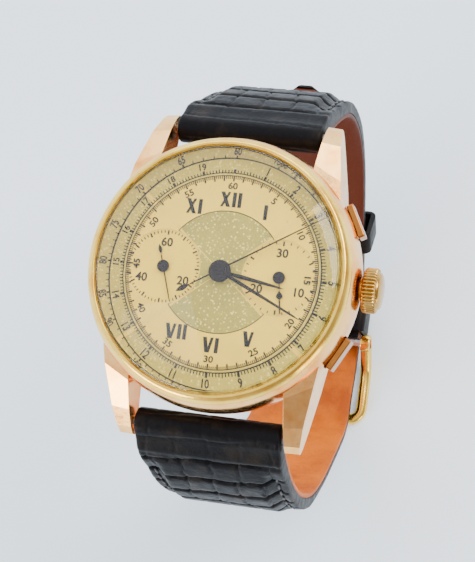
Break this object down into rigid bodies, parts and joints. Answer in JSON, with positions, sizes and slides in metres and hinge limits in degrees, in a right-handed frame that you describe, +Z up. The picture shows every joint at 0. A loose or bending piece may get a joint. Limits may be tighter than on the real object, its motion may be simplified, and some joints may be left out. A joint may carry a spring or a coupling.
{
  "type": "chronograph wristwatch",
  "caption": "Round two-register chronograph wristwatch with domed crystal, faceted lugs, crown and two pushers, on a stitched leather strap closed by a tang buckle",
  "frame": {"origin": "centre of the case back's outer face, below the centre of the dial", "axes": "+Z up out of the dial, +X towards 3 o'clock and the crown, +Y towards 12 o'clock; the buckled strap hangs below in -Z"},
  "size_m": [0.0399, 0.0663, 0.0754],
  "materials": {
    "rose_gold": "polished rose gold plate with fine wear",
    "yellow_gold": "polished yellow gold plate",
    "crystal": "clear domed acrylic",
    "dial": "champagne dial paint, lightly spotted with age",
    "blued_hands": "dark blued steel",
    "nickel_plate": "frosted nickel plate",
    "gilt_brass": "gilt brass",
    "steel": "polished steel",
    "blued_spring": "blued steel",
    "black_leather": "black calf with a square crocodile grain, stitched",
    "tan_lining": "smooth tan lining leather"
  },
  "bodies": {
    "root": {"case_middle": "rose_gold", "bezel": "yellow_gold", "crystal": "crystal", "case_back": "rose_gold", "crown_tube": "yellow_gold", "dial": "dial", "mainplate": "nickel_plate", "movement_ring": "gilt_brass", "barrel_bridge": "nickel_plate", "train_bridge": "nickel_plate", "balance_cock": "nickel_plate", "pallet_bridge": "nickel_plate", "chronograph_bridge": "nickel_plate", "spring_bar_12": "steel", "spring_bar_6": "steel", "strap_short": "black_leather", "lining_short": "tan_lining", "strap_long": "black_leather", "lining_long": "tan_lining", "fixed_keeper": "black_leather", "buckle_bar": "steel"},
    "winding_drive": {"clutch_wheel": "steel", "winding_pinion": "steel"},
    "crown": {"crown": "yellow_gold", "winding_stem": "steel"},
    "crown_wheel": {"crown_wheel": "steel"},
    "ratchet": {"ratchet_wheel": "steel", "barrel_arbor": "steel", "mainspring": "steel"},
    "click": {"click": "steel"},
    "setting_lever": {"setting_lever": "steel"},
    "minute_hand": {"minute_hand": "blued_hands", "cannon_pinion": "steel"},
    "hour_hand": {"hour_hand": "blued_hands", "hour_wheel": "gilt_brass"},
    "minute_wheel": {"minute_wheel": "gilt_brass"},
    "seconds": {"small_seconds_hand": "blued_hands", "fourth_wheel": "gilt_brass"},
    "third_wheel": {"third_wheel": "gilt_brass"},
    "centre_wheel": {"centre_wheel": "gilt_brass"},
    "barrel": {"barrel_drum": "gilt_brass"},
    "escape_wheel": {"escape_wheel": "steel"},
    "pallet_fork": {"pallet_fork": "steel"},
    "balance": {"balance_wheel": "gilt_brass", "hairspring": "blued_spring"},
    "chronograph": {"chronograph_seconds_hand": "blued_hands", "chronograph_wheel": "gilt_brass"},
    "recorder": {"minute_counter_hand": "blued_hands", "minute_recorder_wheel": "gilt_brass"},
    "recorder_intermediate": {"recorder_intermediate_wheel": "gilt_brass"},
    "pusher_start": {"pusher_start": "rose_gold"},
    "operating_lever": {"operating_lever": "steel"},
    "chronograph_cam": {"chronograph_cam": "steel"},
    "coupling_lever": {"coupling_lever": "steel"},
    "coupling_wheel": {"coupling_wheel": "gilt_brass"},
    "pusher_reset": {"pusher_reset": "rose_gold"},
    "hammer": {"hammer": "steel"},
    "free_keeper": {"free_keeper": "black_leather"},
    "buckle_frame": {"buckle_frame": "yellow_gold"},
    "buckle_tongue": {"buckle_tongue": "yellow_gold"}
  },
  "joints": [
    {"name": "crown_turn", "type": "hinge", "parent": "root", "child": "winding_drive", "pos_m": [0.009, 0, 0.0067], "axis": [1, 0, 0], "continuous": true},
    {"name": "crown_pull", "type": "slide", "parent": "winding_drive", "child": "crown", "axis": [1, 0, 0], "range_m": [0, 0.001]},
    {"name": "crown_wheel_turn", "type": "hinge", "parent": "root", "child": "crown_wheel", "pos_m": [0.00905, 0.0022, 0.0027], "axis": [0, 0, 1], "continuous": true},
    {"name": "ratchet_turn", "type": "hinge", "parent": "root", "child": "ratchet", "pos_m": [0.00286, 0.00495, 0.0027], "axis": [0, 0, 1], "continuous": true},
    {"name": "click_swing", "type": "hinge", "parent": "root", "child": "click", "pos_m": [-0.0031, 0.0056, 0.0027], "axis": [0, 0, 1], "range_deg": [0, 8], "stiffness_Nm_per_rad": 0.0000001},
    {"name": "setting_lever_swing", "type": "hinge", "parent": "root", "child": "setting_lever", "pos_m": [0.0116, -0.0034, 0.00775], "axis": [0, 0, 1], "range_deg": [-20.5, 0]},
    {"name": "hand_setting", "type": "hinge", "parent": "root", "child": "minute_hand", "pos_m": [0, 0, 0.0103], "axis": [0, 0, 1], "continuous": true},
    {"name": "hour_hand_turn", "type": "hinge", "parent": "root", "child": "hour_hand", "pos_m": [0, 0, 0.0099], "axis": [0, 0, 1], "continuous": true},
    {"name": "minute_wheel_turn", "type": "hinge", "parent": "root", "child": "minute_wheel", "pos_m": [-0.00155, 0.00263, 0.00785], "axis": [0, 0, 1], "continuous": true},
    {"name": "small_seconds", "type": "hinge", "parent": "root", "child": "seconds", "pos_m": [-0.00785, 0, 0.0094], "axis": [0, 0, 1], "continuous": true},
    {"name": "third_wheel_turn", "type": "hinge", "parent": "root", "child": "third_wheel", "pos_m": [-0.0041, -0.00295, 0.0044], "axis": [0, 0, 1], "continuous": true},
    {"name": "centre_wheel_turn", "type": "hinge", "parent": "root", "child": "centre_wheel", "pos_m": [0, 0, 0.0055], "axis": [0, 0, 1], "continuous": true},
    {"name": "barrel_turn", "type": "hinge", "parent": "root", "child": "barrel", "pos_m": [0.00286, 0.00495, 0.0045], "axis": [0, 0, 1], "continuous": true},
    {"name": "escape_wheel_turn", "type": "hinge", "parent": "root", "child": "escape_wheel", "pos_m": [-0.0089, -0.00376, 0.0049], "axis": [0, 0, 1], "continuous": true},
    {"name": "pallet_swing", "type": "hinge", "parent": "root", "child": "pallet_fork", "pos_m": [-0.0066, -0.0062, 0.0049], "axis": [0, 0, 1], "range_deg": [-5, 5]},
    {"name": "balance_swing", "type": "hinge", "parent": "root", "child": "balance", "pos_m": [-0.0033, -0.009, 0.0037], "axis": [0, 0, 1], "range_deg": [-220, 220], "stiffness_Nm_per_rad": 0.0000002},
    {"name": "chronograph_seconds", "type": "hinge", "parent": "root", "child": "chronograph", "pos_m": [0, 0, 0.0107], "axis": [0, 0, 1], "continuous": true},
    {"name": "minute_counter", "type": "hinge", "parent": "root", "child": "recorder", "pos_m": [0.00785, 0, 0.0094], "axis": [0, 0, 1], "continuous": true},
    {"name": "recorder_intermediate_turn", "type": "hinge", "parent": "root", "child": "recorder_intermediate", "pos_m": [0.00443, 0, 0.002], "axis": [0, 0, 1], "continuous": true},
    {"name": "start_push", "type": "slide", "parent": "root", "child": "pusher_start", "axis": [-0.8829, -0.4695, 0], "range_m": [0, 0.0008], "stiffness_N_per_m": 300},
    {"name": "operating_lever_swing", "type": "hinge", "parent": "root", "child": "operating_lever", "pos_m": [0.0059, 0.0111, 0.0016], "axis": [0, 0, 1], "range_deg": [-6.7, 0]},
    {"name": "chronograph_cam_turn", "type": "hinge", "parent": "root", "child": "chronograph_cam", "pos_m": [0.0109, 0.0046, 0.0016], "axis": [0, 0, 1], "range_deg": [0, 30.5]},
    {"name": "coupling_lever_swing", "type": "hinge", "parent": "root", "child": "coupling_lever", "pos_m": [-0.00785, 0, 0.0016], "axis": [0, 0, 1], "range_deg": [-8.2, 0]},
    {"name": "coupling_wheel_turn", "type": "hinge", "parent": "coupling_lever", "child": "coupling_wheel", "pos_m": [-0.00466, 0.00045, 0.002], "axis": [0, 0, 1], "continuous": true},
    {"name": "reset_push", "type": "slide", "parent": "root", "child": "pusher_reset", "axis": [-0.8829, 0.4695, 0], "range_m": [0, 0.0008], "stiffness_N_per_m": 300},
    {"name": "hammer_swing", "type": "hinge", "parent": "root", "child": "hammer", "pos_m": [0.0066, -0.0096, 0.0016], "axis": [0, 0, 1], "range_deg": [0, 8.6]},
    {"name": "free_keeper_slide", "type": "slide", "parent": "root", "child": "free_keeper", "axis": [0, 0.6402, 0.7682], "range_m": [-0.0035, 0.0035]},
    {"name": "buckle_swing", "type": "hinge", "parent": "root", "child": "buckle_frame", "pos_m": [0, 0.0009, -0.0562], "axis": [1, 0, 0], "range_deg": [0, 1.5]},
    {"name": "tongue_swing", "type": "hinge", "parent": "buckle_frame", "child": "buckle_tongue", "pos_m": [0, 0.0009, -0.0562], "axis": [1, 0, 0], "range_deg": [0, 1.4]}
  ],
  "couplings": [
    {"joint": "crown_wheel_turn", "follows": "crown_turn", "ratio": -0.75},
    {"joint": "ratchet_turn", "follows": "crown_turn", "ratio": 0.375},
    {"joint": "setting_lever_swing", "follows": "crown_pull", "rad_per_m": -350},
    {"joint": "hour_hand_turn", "follows": "hand_setting", "ratio": 0.083333},
    {"joint": "minute_wheel_turn", "follows": "hand_setting", "ratio": -0.33333},
    {"joint": "third_wheel_turn", "follows": "small_seconds", "ratio": -0.13333},
    {"joint": "centre_wheel_turn", "follows": "small_seconds", "ratio": 0.016667},
    {"joint": "barrel_turn", "follows": "small_seconds", "ratio": -0.002778},
    {"joint": "escape_wheel_turn", "follows": "small_seconds", "ratio": -10},
    {"joint": "coupling_wheel_turn", "follows": "small_seconds", "ratio": -2.3},
    {"joint": "minute_counter", "follows": "chronograph_seconds", "ratio": 0.033333},
    {"joint": "recorder_intermediate_turn", "follows": "chronograph_seconds", "ratio": -0.1},
    {"joint": "operating_lever_swing", "follows": "start_push", "rad_per_m": -142},
    {"joint": "chronograph_cam_turn", "follows": "start_push", "rad_per_m": 654},
    {"joint": "coupling_lever_swing", "follows": "start_push", "rad_per_m": -174},
    {"joint": "hammer_swing", "follows": "reset_push", "rad_per_m": 182}
  ]
}
